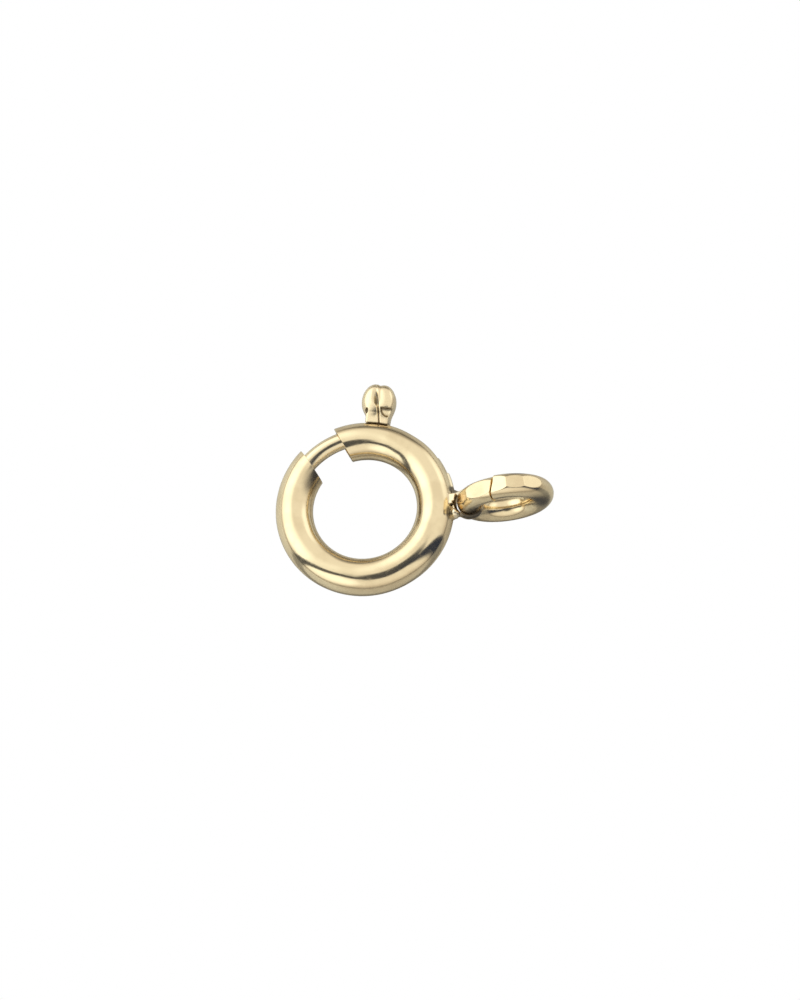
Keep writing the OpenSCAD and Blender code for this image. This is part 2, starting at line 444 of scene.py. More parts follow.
def tube_faces(rings, sides, columns):
    """Faces of the tube's outside, its bore, its ends and the sides of its slot."""
    middle = (columns[:-1] + columns[1:]) / 2
    slotted = np.zeros(rings - 1, bool)
    slotted[END_COLUMNS:END_COLUMNS + len(middle)] = (middle > SLOT_LOW) & (middle < SLOT_HIGH)
    first = np.argmax(slotted)
    last = len(slotted) - np.argmax(slotted[::-1])

    def at(i, j, layer):
        return (layer * rings + i) * sides + j % sides

    def wall(i, j, k, m):
        """A face between the outside and the bore, along the edge between two places."""
        return [at(i, j, 0), at(k, m, 0), at(k, m, 1), at(i, j, 1)]

    faces = []
    for i, j in product(range(rings - 1), range(sides)):
        if slotted[i] and j < SLOT_ROWS - 1:
            continue
        for layer in (0, 1):
            corners = ((i, j), (i + 1, j), (i + 1, j + 1), (i, j + 1))
            faces.append([at(*corner, layer) for corner in corners])
    faces += [wall(i, j, i + 1, j) for i in range(first, last) for j in (0, SLOT_ROWS - 1)]
    faces += [wall(i, j, i, j + 1) for i in (first, last) for j in range(SLOT_ROWS - 1)]
    faces += [wall(i, j, i, j + 1) for i in (0, rings - 1) for j in range(sides)]
    return faces


def tube_painted_shade(points):
    """Painted shade by the knob, and a painted dark reflection on the tube's inner side just past the gap's
    left end.
    """
    az = np.degrees(np.arctan2(points[:, 1], points[:, 0]))
    out = np.hypot(points[:, 0], points[:, 1]) - RING_R
    around = np.degrees(np.arctan2(points[:, 2], out))
    return np.maximum(eye_painted_shade(points), painted_dark_at(az, around, TUBE_PAINTED_REFLECTIONS))


def ring_tube(material):
    columns = np.unique(np.concatenate([
        np.linspace(SQUARE_FROM, SLOT_LOW, LONG_COLUMNS),
        np.linspace(SLOT_LOW, SLOT_HIGH, SLOT_COLUMNS),
        np.linspace(SLOT_HIGH, SQUARE_TO, SHORT_COLUMNS),
    ]))
    outer = tube_shell(TUBE_R, columns, DENTS + small_waves())
    inner = tube_shell(BORE_R, columns, [])
    points = np.concatenate([outer.reshape(-1, 3), inner.reshape(-1, 3)])
    faces = tube_faces(*outer.shape[:2], columns)
    piece = make_mesh("ring_tube", points, faces, material, tube_painted_shade(points))
    soften(piece)
    return piece


def spring_stop(material):
    """The wall in the tube that the spring pushes on."""
    half = turn_of(STOP_T / 2, RING_R)
    az = np.linspace(STOP_AZ - half, STOP_AZ + half, STOP_RINGS)[:, None]
    around = np.linspace(0, 360, STOP_SIDES, endpoint=False)[None, :]
    az, around = np.broadcast_arrays(az, around)
    return make_mesh("spring_stop", *swept(on_tube(az, around, BORE_R + STOP_DEEP)), material)


# Eye: a strap round the jump ring's wire, soldered to the tube by a web, a pad, a knob and a saddle

STRAP_EDGE = 0.04
WEB_FOOT = RING_OD / 2 - TUBE_WALL
WEB_W = 1.14
WEB_CURVE = 0.8
WEB_EDGE = 0.05
WEB_CUT = 0.03
WEB_JOIN = 0.05
PAD_FACE = RING_OD / 2 + EYE_SEAT
# Corners of the pad's block, whose top is then cut to a slope
PAD_LOW = (PAD_FACE - 0.44, -0.085, -0.1)
PAD_HIGH = (PAD_FACE + 0.2, 0.255, 0.64)
PAD_TOP = 0.47
PAD_SLOPE = 0.27
PAD_EDGE = 0.04
PAD_CUT = 0.03
PAD_JOIN = 0.025
# The knob's two balls, middle and radii
KNOB_UPPER = ((3.04, -0.17, 0.25), (0.1, 0.09, 0.13))
KNOB_LOWER = ((3.05, -0.37, 0.2), (0.16, 0.19, 0.24))
KNOB_NECK = 0.03
KNOB_JOIN = 0.015
SADDLE_T = 0.05
SADDLE_L = 1.1
SADDLE_W = 0.29
SADDLE_EDGE = 0.04
SADDLE_END = 0.06
SADDLE_JOIN = 0.05
# How much wider the hole gets as it rises past the strap, on the knob's side and on the pad's side
FLARE_KNOB = 0.36
FLARE_PAD = 0.1
# The solder's fillet by the knob and by the pad, how far it runs and how deep it goes
FILLET_KNOB = 0.02
FILLET_PAD = 0.06
FILLET_SPAN = (-0.15, 0.1)
SOLDER_UNDER = 0.006
SOLDER_REACH = 0.16
SOLDER_DEEP = 0.06
SOLDER_EDGE = 0.02
SOLDER_FOOT = 0.01
# Corners of the space that holds the eye
EYE_LOW = (2.5, -0.8, -0.55)
EYE_HIGH = (4.15, 1.75, 0.6)
# Each spot of painted shade: middle, radii, where it is full and where it ends, strength
EYE_PAINTED_SHADE = [
    ((2.85, -0.38, 0.42), (0.085, 0.26, 0.25), -0.5, 0.25, 0.85),
    ((3.62, -0.42, 0.12), (0.42, 0.22, 0.24), -0.3, 0.3, 0.9),
    ((3.1, -0.09, 0.3), (0.14, 0.03, 0.12), 0, 1, 0.6),
    ((3.0, 0.46, 0.2), (0.2, 0.13, 0.2), -0.3, 0.3, 0.85),
]


def eye_field(p):
    """The eye before it is soldered and its hole is opened."""
    q = turned(p, EYE_AZ)
    out = q[..., 0]
    side = q[..., 1]
    up = q[..., 2]
    level = np.abs(up) - EYE_H / 2
    strap = smooth_max(np.hypot(out - EYE_R, side) - EYE_OUT_R, level, STRAP_EDGE)

    share = np.clip((out - WEB_FOOT) / (EYE_R - WEB_FOOT), 0, 1)
    half = WEB_W / 2 + (EYE_OUT_R - WEB_W) / 2 * share ** WEB_CURVE
    web = smooth_max(np.abs(side) - half, level, WEB_EDGE)
    web = smooth_max(web, out - EYE_R, WEB_CUT)
    web = smooth_max(web, WEB_FOOT - out, WEB_CUT)

    pad = box_field(q, PAD_LOW, PAD_HIGH, PAD_EDGE)
    top = (up - PAD_TOP - PAD_SLOPE * (out - PAD_FACE)) / math.hypot(1, PAD_SLOPE)
    pad = smooth_max(pad, top, PAD_CUT)

    along = (np.arctan2(p[..., 1], p[..., 0]) - math.radians(EYE_AZ)) * RING_OD / 2
    saddle = smooth_max(tube_field(p) - SADDLE_T, np.abs(up) - SADDLE_W / 2, SADDLE_EDGE)
    saddle = smooth_max(saddle, -along, SADDLE_EDGE)
    saddle = smooth_max(saddle, along - SADDLE_L, SADDLE_END)

    knob = smooth_min(ball_field(q, *KNOB_UPPER), ball_field(q, *KNOB_LOWER), KNOB_NECK)
    metal = smooth_min(strap, web, WEB_JOIN)
    metal = smooth_min(metal, pad, PAD_JOIN)
    metal = smooth_min(metal, saddle, SADDLE_JOIN)
    return smooth_min(metal, knob, KNOB_JOIN)


def eye_hole_field(p):
    """Distance inside the hole's wall, which opens upwards so that the jump ring can swing."""
    q = turned(p, EYE_AZ)
    rise = np.clip(q[..., 2] - EYE_H / 2, 0, None)
    wide = EYE_HOLE_R + rise * np.where(q[..., 1] < 0, FLARE_KNOB, FLARE_PAD)
    return wide - np.hypot(q[..., 0] - EYE_R, q[..., 1])


def solder_field(p):
    """The eye with its solder, which runs softly onto the tube."""
    side = turned(p, EYE_AZ)[..., 1]
    tube = tube_field(p)
    metal = eye_field(p)
    reach = FILLET_KNOB + (FILLET_PAD - FILLET_KNOB) * ease(side, *FILLET_SPAN)
    joined = smooth_min(metal, tube + SOLDER_UNDER, reach)
    joined = smooth_max(joined, metal - SOLDER_REACH, SOLDER_EDGE)
    joined = smooth_max(joined, -tube - SOLDER_DEEP, SOLDER_FOOT)
    return smooth_max(joined, eye_hole_field(p), SOLDER_EDGE)


def eye_painted_shade(p):
    """Painted shade in the creases round the knob and the web."""
    q = turned(p, EYE_AZ)
    spots = [
        strength * (1 - ease(ball_field(q, middle, radii) / min(radii), full, end))
        for middle, radii, full, end, strength in EYE_PAINTED_SHADE
    ]
    return np.maximum.reduce(spots)


def ring_eye(material):
    points, quads = skin(solder_field, EYE_LOW, EYE_HIGH)
    return make_mesh("ring_eye", points, quads, material, eye_painted_shade(points))


# Bolt

# Degrees over which each end is rounded, and how much the rounding takes off the radius there
TAIL_ROUND = 0.8
TIP_ROUND = 0.5
ROUND_DEEP = 0.03
# Degrees by which the taper starts before its length and would end past the tip
TAPER_EARLY = 0.6
TAPER_LATE = 0.2
# Rings of points in the tail's rounding, along the rod, along the taper and in the tip's rounding
BOLT_RINGS = (5, 90, 10, 5)
# Degrees between one of those stretches and the next
BOLT_STEPS = (0.2, 0.3, 0.1)
BOLT_SIDES = 72
DRILL_SIDES = 48


def bolt_rod(material):
    """The curved rod that closes the gap, tapered at its tip and drilled for the trigger's peg."""
    tip = GAP_AZ + math.degrees(math.asin(GAP_W / 2 / RING_R)) + turn_of(BOLT_REACH, BOLT_R)
    tail = TRIGGER_AZ - turn_of(BOLT_TAIL, BOLT_R)
    cone = turn_of(TIP_L, BOLT_R)
    az = np.concatenate([
        np.linspace(tail, tail + TAIL_ROUND, BOLT_RINGS[0]),
        np.linspace(tail + TAIL_ROUND + BOLT_STEPS[0], tip - cone - BOLT_STEPS[1], BOLT_RINGS[1]),
        np.linspace(tip - cone, tip - TIP_ROUND, BOLT_RINGS[2]),
        np.linspace(tip - TIP_ROUND + BOLT_STEPS[2], tip, BOLT_RINGS[3]),
    ])
    taper = ease(az, tip - cone - TAPER_EARLY, tip + TAPER_LATE)
    radius = BOLT_D / 2 + (TIP_D - BOLT_D) / 2 * taper
    for end, turn in ((tail, TAIL_ROUND), (tip, TIP_ROUND)):
        near = np.clip(1 - np.abs(az - end) / turn, 0, 1)
        radius = radius - ROUND_DEEP * (1 - np.sqrt(1 - near ** 2))
    around = np.radians(np.linspace(0, 360, BOLT_SIDES, endpoint=False))
    rho = BOLT_R + radius[:, None] * np.cos(around)
    a = np.radians(az)[:, None]
    points = np.stack([rho * np.cos(a), rho * np.sin(a), radius[:, None] * np.sin(around)], -1)
    piece = make_mesh("bolt_rod", *swept(points), material)
    drill(piece, TRIGGER_AZ, PEG_D / 2 + PEG_PLAY)
    return piece


def drill(piece, az, radius):
    """Cuts the hole for the peg through the bolt, along the ring's radius."""
    around = np.radians(np.linspace(0, 360, DRILL_SIDES, endpoint=False))
    out = np.array([BOLT_R - BOLT_D, BOLT_R + BOLT_D])[:, None, None]
    side = radius * np.cos(around)[:, None]
    up = radius * np.sin(around)[:, None]
    points = out * unit(az) + side * unit(az + 90) + up * np.array([0, 0, 1.0])
    tool = make_mesh("drill", *swept(points), piece.data.materials[0])
    cut = piece.modifiers.new("Hole", "BOOLEAN")
    cut.operation = "DIFFERENCE"
    cut.object = tool
    bake(piece)
    bpy.data.objects.remove(tool)


# Trigger: two domed leaves that meet at a seam, on a stem whose peg sits in the bolt

# How square the domes are, from 2 for an ellipse upwards
DOME = 2.8
LEAF_H = HEAD_H / 2 + 0.03
LEAF_W = HEAD_W / 2 - 0.13
# Each leaf: middle out from the ring and round it, radii, and how much its face tilts up to the right
LEFT_LEAF = ((HEAD_R + 0.02, 0.15), (LEAF_H, LEAF_W, HEAD_T / 2), 0.02)
RIGHT_LEAF = ((HEAD_R + 0.01, -0.11), (LEAF_H, LEAF_W, HEAD_T / 2 - 0.01), 0.09)
LEAF_JOIN = 0.008
STEM_LEFT = STEM_W / 2 - 0.03
STEM_RIGHT = -STEM_W / 2 - 0.03
STEM_FOOT = BOLT_R + 0.1
STEM_TOP = HEAD_R - 0.1
STEM_EDGE = 0.06
STEM_JOIN = 0.02
SEAT_EDGE = 0.01
SHOULDER_FOOT = 2.8
SHOULDER_H = 0.35
SHOULDER_EDGE = 0.07
SHOULDER_JOIN = 0.12
TUBE_CLEAR = 0.032
PEG_TOP = BOLT_R + 0.45
PEG_JOIN = 0.015
CUT_EDGE = 0.02
# The groove: its place round the ring where it is deepest, its lean, and the width of both slopes
SEAM_OUT = 3.75
SEAM_SIDE = 0.035
SEAM_LEAN = 0.19
SEAM_LEFT_FOOT = 0.05
SEAM_LEFT_MORE = 0.16
SEAM_RIGHT = 0.075
SEAM_SLOPE = 0.8
SEAM_DEEP = 0.1
SEAM_FOOT_DEEP = 0.05
# How far above the leaves the cut that makes the groove starts, and how much more past its outer end
SEAM_ABOVE = 0.04
SEAM_END_ABOVE = 0.3
# Distances from the ring's middle over which the groove widens, starts, ends and closes
SEAM_WIDENS = (3.42, 3.7)
SEAM_STARTS = (3.35, 3.62)
SEAM_ENDS = (3.78, 4.1)
SEAM_FOOT_ENDS = (3.4, 3.6)
SEAM_CLOSES = (4.08, 4.16)
LEAF_TOP = 0.96 * HEAD_T / 2
LEAF_END = 0.98
# The notch where the groove meets the head's outer end
NOTCH_OUT = HEAD_R + HEAD_H / 2 + 0.04
NOTCH_SIDE = 0.04
NOTCH_LONG = 1.7
NOTCH_R = 0.03
# Middle and radii of the half-moon hollow in the right leaf and of the dimple in the left one
SCOOP = ((3.42, -0.385, 0.39), (0.28, 0.255, 0.15))
SCOOP_TOP = 3.475
DIMPLE = ((3.335, 0.345, 0.35), (0.085, 0.055, 0.09))
# Painted shade in the groove of the head: strength, where it starts and ends, and from what depth it is
# full
HEAD_SEAM_SHADE = 0.75
HEAD_SEAM_STARTS = (3.5, 3.65)
HEAD_SEAM_ENDS = (3.72, 4.05)
HEAD_SEAM_DEPTH = (0.1, 0.8)
# The same in the groove of the stem
STEM_SEAM_SHADE = 0.8
STEM_SEAM_ENDS = (3.45, 3.6)
STEM_SEAM_DEPTH = (0.5, 1.0)
SEAM_SHADE_DROP = 0.1
# Painted contact shadow where the stem's foot meets the tube: strength and reach
FOOT_SHADOW = 0.6
FOOT_REACH = 0.05
# Painted shade round the hollow: strength at its upper edge and at its sides, place and width of the line
RIM_TOP_SHADE = 0.8
RIM_TOP_FROM = (3.38, 3.45)
RIM_SIDE_SHADE = 0.6
RIM_SIDE_FROM = (0.31, 0.36)
RIM_INSET = 0.012
RIM_WIDE = 0.03
RIM_LEVEL = 0.2
# Painted shade in the dimple: strength and reach
DIMPLE_SHADE = 0.7
DIMPLE_REACH = 0.02
# Corners of the space that holds the trigger
TRIGGER_LOW = (-0.55, 2.2, -0.5)
TRIGGER_HIGH = (1.05, HEAD_R + HEAD_H / 2 + 0.15, 0.5)


def leaf_field(q, middle, radii, tilt):
    """Rough distance to a leaf, whose top and bottom are flattened and rise to its right."""
    flat = np.hypot((q[..., 0] - middle[0]) / radii[0], (q[..., 1] - middle[1]) / radii[1])
    level = np.abs(q[..., 2]) - tilt * (middle[1] - q[..., 1])
    return ((flat ** DOME + np.abs(level / radii[2]) ** DOME) ** (1 / DOME) - 1) * min(radii)


def scoop_field(mirrored):
    """The half-moon hollow at the foot of the right leaf."""
    return smooth_max(ball_field(mirrored, *SCOOP), mirrored[..., 0] - SCOOP_TOP, CUT_EDGE)


def seam_share(out, side):
    """How deep a place lies in the groove: a gentle slope on its left, a steep one on its right."""
    off = side - SEAM_SIDE - SEAM_LEAN * (out - SEAM_OUT)
    wide = SEAM_LEFT_FOOT + SEAM_LEFT_MORE * ease(out, *SEAM_WIDENS)
    return np.where(off > 0, 1 - ease(off, 0, wide), 1 - ease(-off, 0, SEAM_RIGHT))


def seam_level(out, side):
    """Height of the groove between the two leaves, from the stem to near the top."""
    along = np.clip(np.abs(out - HEAD_R) / LEAF_H, 0, LEAF_END)
    leaf_top = LEAF_TOP * (1 - along ** DOME) ** (1 / DOME)
    leaf_top = np.where(out < HEAD_R, np.maximum(leaf_top, SHOULDER_H), leaf_top)
    deep = SEAM_DEEP * ease(out, *SEAM_STARTS) * (1 - ease(out, *SEAM_ENDS))
    deep = deep + SEAM_FOOT_DEEP * (1 - ease(out, *SEAM_FOOT_ENDS))
    above = SEAM_ABOVE + SEAM_END_ABOVE * ease(out, *SEAM_CLOSES)
    return leaf_top + above - (deep + above) * seam_share(out, side)


def trigger_field(p):
    """The whole trigger: head, shoulder, stem and peg, less its groove, notch and hollows."""
    q = turned(p, TRIGGER_AZ)
    out = q[..., 0]
    side = q[..., 1]
    up = q[..., 2]
    level = np.abs(up)
    head = smooth_min(leaf_field(q, *LEFT_LEAF), leaf_field(q, *RIGHT_LEAF), LEAF_JOIN)

    stem_low = (STEM_FOOT, STEM_RIGHT, -STEM_T / 2)
    stem_high = (STEM_TOP, STEM_LEFT, STEM_T / 2)
    stem = box_field(q, stem_low, stem_high, STEM_EDGE)
    seat = np.hypot(np.hypot(p[..., 0], p[..., 1]) - BOLT_R, up) - BOLT_D / 2 - PEG_PLAY
    stem = smooth_max(stem, -seat, SEAT_EDGE)

    shoulder_low = (SHOULDER_FOOT, STEM_RIGHT, -SHOULDER_H)
    shoulder_high = (STEM_TOP, STEM_LEFT, SHOULDER_H)
    shoulder = box_field(q, shoulder_low, shoulder_high, SHOULDER_EDGE)
    shoulder = smooth_max(shoulder, TUBE_CLEAR - tube_field(p), CUT_EDGE)

    peg = smooth_max(np.hypot(side, up) - PEG_D / 2, BOLT_R - BOLT_D / 2 + PEG_PLAY - out, CUT_EDGE)
    peg = smooth_max(peg, out - PEG_TOP, CUT_EDGE)

    body = smooth_min(head, shoulder, SHOULDER_JOIN)
    body = smooth_min(body, stem, STEM_JOIN)
    body = smooth_min(body, peg, PEG_JOIN)
    body = smooth_max(body, SEAM_SLOPE * (level - seam_level(out, side)), CUT_EDGE)
    notch = np.hypot((out - NOTCH_OUT) / NOTCH_LONG, side - NOTCH_SIDE) - NOTCH_R
    body = smooth_max(body, -notch, CUT_EDGE)
    mirrored = np.stack([out, side, level], -1)
    body = smooth_max(body, -scoop_field(mirrored), CUT_EDGE)
    return smooth_max(body, -ball_field(mirrored, *DIMPLE), CUT_EDGE)


def trigger_painted_shade(p):
    """Painted shade along the seam, round the hollow's edge and in the dimple, and a painted contact shadow
    at the foot.
    """
    q = turned(p, TRIGGER_AZ)
    out = q[..., 0]
    side = q[..., 1]
    level = np.abs(q[..., 2])
    share = seam_share(out, side) * (level > SHOULDER_H - SEAM_SHADE_DROP)
    head_seam = ease(out, *HEAD_SEAM_STARTS) * (1 - ease(out, *HEAD_SEAM_ENDS))
    head_seam = HEAD_SEAM_SHADE * head_seam * ease(share, *HEAD_SEAM_DEPTH)
    stem_seam = STEM_SEAM_SHADE * (1 - ease(out, *STEM_SEAM_ENDS)) * ease(share, *STEM_SEAM_DEPTH)
    foot = FOOT_SHADOW * (1 - ease(tube_field(p), TUBE_CLEAR, TUBE_CLEAR + FOOT_REACH))
    mirrored = np.stack([out, side, level], -1)
    line = np.exp(-((scoop_field(mirrored) + RIM_INSET) / RIM_WIDE) ** 2) * (level > RIM_LEVEL)
    rim_top = RIM_TOP_SHADE * ease(out, *RIM_TOP_FROM)
    rim_side = RIM_SIDE_SHADE * ease(level, *RIM_SIDE_FROM)
    rim = line * np.maximum(rim_top, rim_side)
    dimple = DIMPLE_SHADE * (1 - ease(ball_field(mirrored, *DIMPLE), 0, DIMPLE_REACH))
    return np.maximum.reduce([head_seam, stem_seam, foot, rim, dimple])


def trigger_leaves(material):
    points, quads = skin(trigger_field, TRIGGER_LOW, TRIGGER_HIGH)
    return make_mesh("trigger_leaves", points, quads, material, trigger_painted_shade(points))


# Jump ring: round wire bent to a ring, split, with the flats that a tool left on it

# Each flat: turn of its middle from the top towards the main ring, depth in the wire, roll to the trigger
JUMP_FLATS = [
    (62.0, 0.06, 3.0),
    (29.4, 0.11, 7.0),
    (9.5, 0.11, 5.0),
    (-18.6, 0.065, 4.5),
    (-40.0, 0.06, 5.0),
]
# Each patch of painted shade and dark reflection: turn, angle round the wire from its outer side to the
# trigger, reach of both, strength
JUMP_PAINTED_SHADE = [
    (-24.0, 54.0, 17.0, 9.0, 0.8),
    (-76.0, -92.0, 31.0, 46.0, 0.95),
    (-3.0, -84.0, 24.0, 7.0, 0.5),
    (70.0, -98.0, 17.0, 30.0, 0.8),
]
JUMP_RINGS = 500
JUMP_SIDES = 160
FLAT_EDGE = 0.006
FLAT_FACING = 0.05
# Flats that lie this near the split end at it
SPLIT_NEAR = 20.0
SPLIT_AT = 11.7
SPLIT_W = 0.04
SPLIT_SKEW = 3.6
SPLIT_SKEW_SPAN = 40
SPLIT_MARGIN = 0.01
# How far the wire's two ends stand apart sideways, the share of each, and over how many degrees
SPLIT_STEP = 0.045
STEP_SHARES = (0.45, 0.55)
STEP_SPANS = (60, 55)
# Rounding of the wire's ends, and how far in the first few rings of points stand
END_ROUND = 0.012
END_INSETS = np.array([0.0, 0.004, 0.012])
END_GAP = 0.021


def jump_radius(turn, lean):
    """Distance from the wire's middle to its surface, after the flats."""
    radius = np.full(np.broadcast(turn, lean).shape, WIRE_R)
    for flat_turn, deep, roll in JUMP_FLATS:
        off = np.radians(turn - flat_turn)
        tilt = math.radians(roll)
        facing = np.cos(off) * np.cos(lean) * math.cos(tilt) + np.sin(lean) * math.sin(tilt)
        room = WIRE_R - deep - JUMP_R * (np.cos(off) - 1) * math.cos(tilt)
        flat = np.where(facing > FLAT_FACING, room / np.maximum(facing, FLAT_FACING), 2 * WIRE_R)
        cut = smooth_min(radius, np.minimum(flat, 2 * WIRE_R), FLAT_EDGE)
        if abs(flat_turn - SPLIT_AT) < SPLIT_NEAR:
            same_side = (turn > SPLIT_AT) == (flat_turn > SPLIT_AT)
            cut = np.where(same_side, cut, radius)
        radius = cut
    return radius


def jump_ring(material):
    """The wire from one side of the split round to the other."""
    half = turn_of(SPLIT_W / 2, JUMP_R)
    long = 360 - 2 * half
    near = np.degrees(END_INSETS / JUMP_R)
    clear = turn_of(END_GAP, JUMP_R)
    along = np.concatenate([near, np.linspace(clear, long - clear, JUMP_RINGS), long - near[::-1]])
    lean = np.radians(np.linspace(-180, 180, JUMP_SIDES, endpoint=False))[None, :]
    from_end = np.minimum(along, long - along)

    straight = (SPLIT_AT - half - along)[:, None]
    straight = np.where(straight < -180, straight + 360, straight)
    skew = SPLIT_SKEW * (1 - ease(from_end, 0, SPLIT_SKEW_SPAN))[:, None] * np.sin(lean)
    turn = straight - skew
    before = np.minimum(turn, SPLIT_AT - SPLIT_MARGIN)
    after = np.where(turn > 0, np.maximum(turn, SPLIT_AT + SPLIT_MARGIN), turn)
    radius = jump_radius(np.where(along[:, None] < long / 2, before, after), lean)

    inset = END_ROUND - np.minimum(np.radians(from_end) * JUMP_R, END_ROUND)
    rounding = END_ROUND - np.sqrt(np.maximum(END_ROUND ** 2 - inset ** 2, 0))
    radius = radius - rounding[:, None]
    first_step = STEP_SHARES[0] * (1 - ease(along, 0, STEP_SPANS[0]))
    last_step = STEP_SHARES[1] * ease(along, long - STEP_SPANS[1], long)
    shift = SPLIT_STEP * (first_step - last_step)

    angle = np.radians(90 + turn)
    out = JUMP_R + radius * np.cos(lean)
    across = (out * np.cos(angle))[..., None]
    side = (radius * np.sin(lean) + shift[:, None])[..., None]
    up = (out * np.sin(angle))[..., None]
    middle = EYE_R * unit(EYE_AZ) + JUMP_R * unit(JUMP_AZ)
    points = middle + across * unit(JUMP_AZ) + side * unit(JUMP_AZ + 90) + up * np.array([0, 0, 1.0])
    # Painted shade and painted dark reflections on the wire
    painted_dark = painted_dark_at(turn, np.degrees(lean), JUMP_PAINTED_SHADE)
    return make_mesh("jump_ring_wire", *swept(points), material, painted_dark)


# Node trees

class Nodes:
    """Puts nodes into a tree and links them, so that a finish reads as a formula."""

    def __init__(self, tree):
        self.tree = tree

    def __call__(self, kind, settings=None, **inputs):
        node = self.tree.nodes.new(kind)
        for key, value in (settings or {}).items():
            setattr(node, key, value)
        for key, value in inputs.items():
            self.give(node.inputs[key.replace("_", " ")], value)
        return node

    def give(self, socket, value):
        """Links a value that comes from a node, and sets one that is a constant."""
        if isinstance(value, bpy.types.NodeSocket):
            self.tree.links.new(value, socket)
        else:
            socket.default_value = value

    def math(self, operation, *values):
        node = self.tree.nodes.new("ShaderNodeMath")
        node.operation = operation
        for socket, value in zip(node.inputs, values):
            self.give(socket, value)
        return node.outputs[0]

    def step(self, value, low, high, start=0.0, stop=1.0):
        """A smooth step of a value between two limits."""
        node = self.tree.nodes.new("ShaderNodeMapRange")
        node.interpolation_type = "SMOOTHSTEP"
        for socket, given in zip(node.inputs, (value, low, high, start, stop)):
            self.give(socket, given)
        return node.outputs[0]

    def mix(self, share, first, second):
        """A colour between two others."""
        node = self.tree.nodes.new("ShaderNodeMix")
        node.data_type = "RGBA"
        self.give(node.inputs["Factor"], share)
        for socket, value in zip(node.inputs[6:8], (first, second)):
            self.give(socket, value)
        return node.outputs[2]


# Spring: a coil along an arc, made by a node tree

SPRING_STEPS = 32
SPRING_SIDES = 10


def wire_tree():
    """A coil of wire bent round an axis, from one azimuth to another."""
    tree = bpy.data.node_groups.new("bent_coil", "GeometryNodeTree")
    face = tree.interface
    face.new_socket("Geometry", in_out="INPUT", socket_type="NodeSocketGeometry")
    for name in ("Turns", "Steps"):
        face.new_socket(name, in_out="INPUT", socket_type="NodeSocketInt")
    for name in ("Coil radius", "Ring radius", "Wire radius", "From", "To"):
        face.new_socket(name, in_out="INPUT", socket_type="NodeSocketFloat")
    face.new_socket("Material", in_out="INPUT", socket_type="NodeSocketMaterial")
    face.new_socket("Geometry", in_out="OUTPUT", socket_type="NodeSocketGeometry")
    put = Nodes(tree)
    given = put("NodeGroupInput").outputs
    count = put.math("MULTIPLY", given["Turns"], given["Steps"])
    line = put("GeometryNodeMeshLine", Count=put.math("ADD", count, 1.0))
    index = put("GeometryNodeInputIndex").outputs[0]
    share = put.math("DIVIDE", index, count)
    coil = put.math("MULTIPLY", put.math("DIVIDE", index, given["Steps"]), math.tau)
    span = put.math("SUBTRACT", given["To"], given["From"])
    az = put.math("ADD", given["From"], put.math("MULTIPLY", share, span))
    out = put.math("MULTIPLY", put.math("COSINE", coil), given["Coil radius"])
    rho = put.math("ADD", out, given["Ring radius"])
    place = put(
        "ShaderNodeCombineXYZ",
        X=put.math("MULTIPLY", rho, put.math("COSINE", az)),
        Y=put.math("MULTIPLY", rho, put.math("SINE", az)),
        Z=put.math("MULTIPLY", put.math("SINE", coil), given["Coil radius"]),
    )
    moved = put("GeometryNodeSetPosition", Geometry=line.outputs[0], Position=place.outputs[0])
    path = put("GeometryNodeMeshToCurve", Mesh=moved.outputs[0])
    ring = put("GeometryNodeCurvePrimitiveCircle", Resolution=SPRING_SIDES, Radius=given["Wire radius"])
    wire = put(
        "GeometryNodeCurveToMesh",
        Curve=path.outputs[0],
        Profile_Curve=ring.outputs[0],
        Fill_Caps=True,
    )
    smooth = put("GeometryNodeSetShadeSmooth", Geometry=wire.outputs[0])
    real = put("GeometryNodeRealizeInstances", Geometry=smooth.outputs[0])
    finish = put("GeometryNodeSetMaterial", Geometry=real.outputs[0], Material=given["Material"])
    put("NodeGroupOutput", Geometry=finish.outputs[0])
    return tree


def coil_spring(material):
    """The spring, with the two places between which it shortens."""
    end_room = SPRING_END_PLAY + SPRING_WIRE / 2
    low = STOP_AZ + turn_of(STOP_T / 2 + end_room, RING_R)
    high = TRIGGER_AZ - turn_of(BOLT_TAIL, BOLT_R) - turn_of(end_room, RING_R)
    piece = bpy.data.objects.new("coil_spring", bpy.data.meshes.new("coil_spring"))
    bpy.context.collection.objects.link(piece)
    nodes = piece.modifiers.new("Coil", "NODES")
    nodes.node_group = wire_tree()
    values = {
        "Turns": SPRING_TURNS,
        "Steps": SPRING_STEPS,
        "Coil radius": (BORE_R - SPRING_PLAY - SPRING_WIRE / 2) * MM,
        "Ring radius": RING_R * MM,
        "Wire radius": SPRING_WIRE / 2 * MM,
        "From": math.radians(low),
        "To": math.radians(high),
        "Material": material,
    }
    for item in nodes.node_group.interface.items_tree:
        if item.in_out == "INPUT" and item.name in values:
            nodes[item.identifier] = values[item.name]
    bake(piece)
    piece.data.transform(Matrix(LYING.tolist()).to_4x4())
    return piece, lay(RING_R * unit(low))[0], lay(RING_R * unit(high))[0]


# Materials

# Colour of the painted shade and painted dark reflections that darken the metals
PAINTED_SHADE = (0.07, 0.06, 0.055, 1)
# Soft colour drift, small spots and drawn-out hairlines: how fine each is and how much relief it gives
DRIFT_SCALE = 900.0
DRIFT_RELIEF = 0.7
SPOT_SCALE = 6500.0
SPOT_RELIEF = 0.12
LINE_SCALE = 2600.0
LINE_RELIEF = 0.1
LINE_TURN = (0.3, 0.2, 0.9)
LINE_STRETCH = (1.0, 14.0, 6.0)
# Where the drift counts as rubbed and the spots as spots, and the roughness that each of them adds
RUBBED_SPAN = (0.46, 0.66)
RUBBED_ROUGH = 0.06
SPOT_SPAN = (0.5, 0.75)
SPOT_ROUGH = 0.08
# Roughness added where shade is painted
PAINTED_SHADE_ROUGH = 0.15
METAL_IOR = 1.45
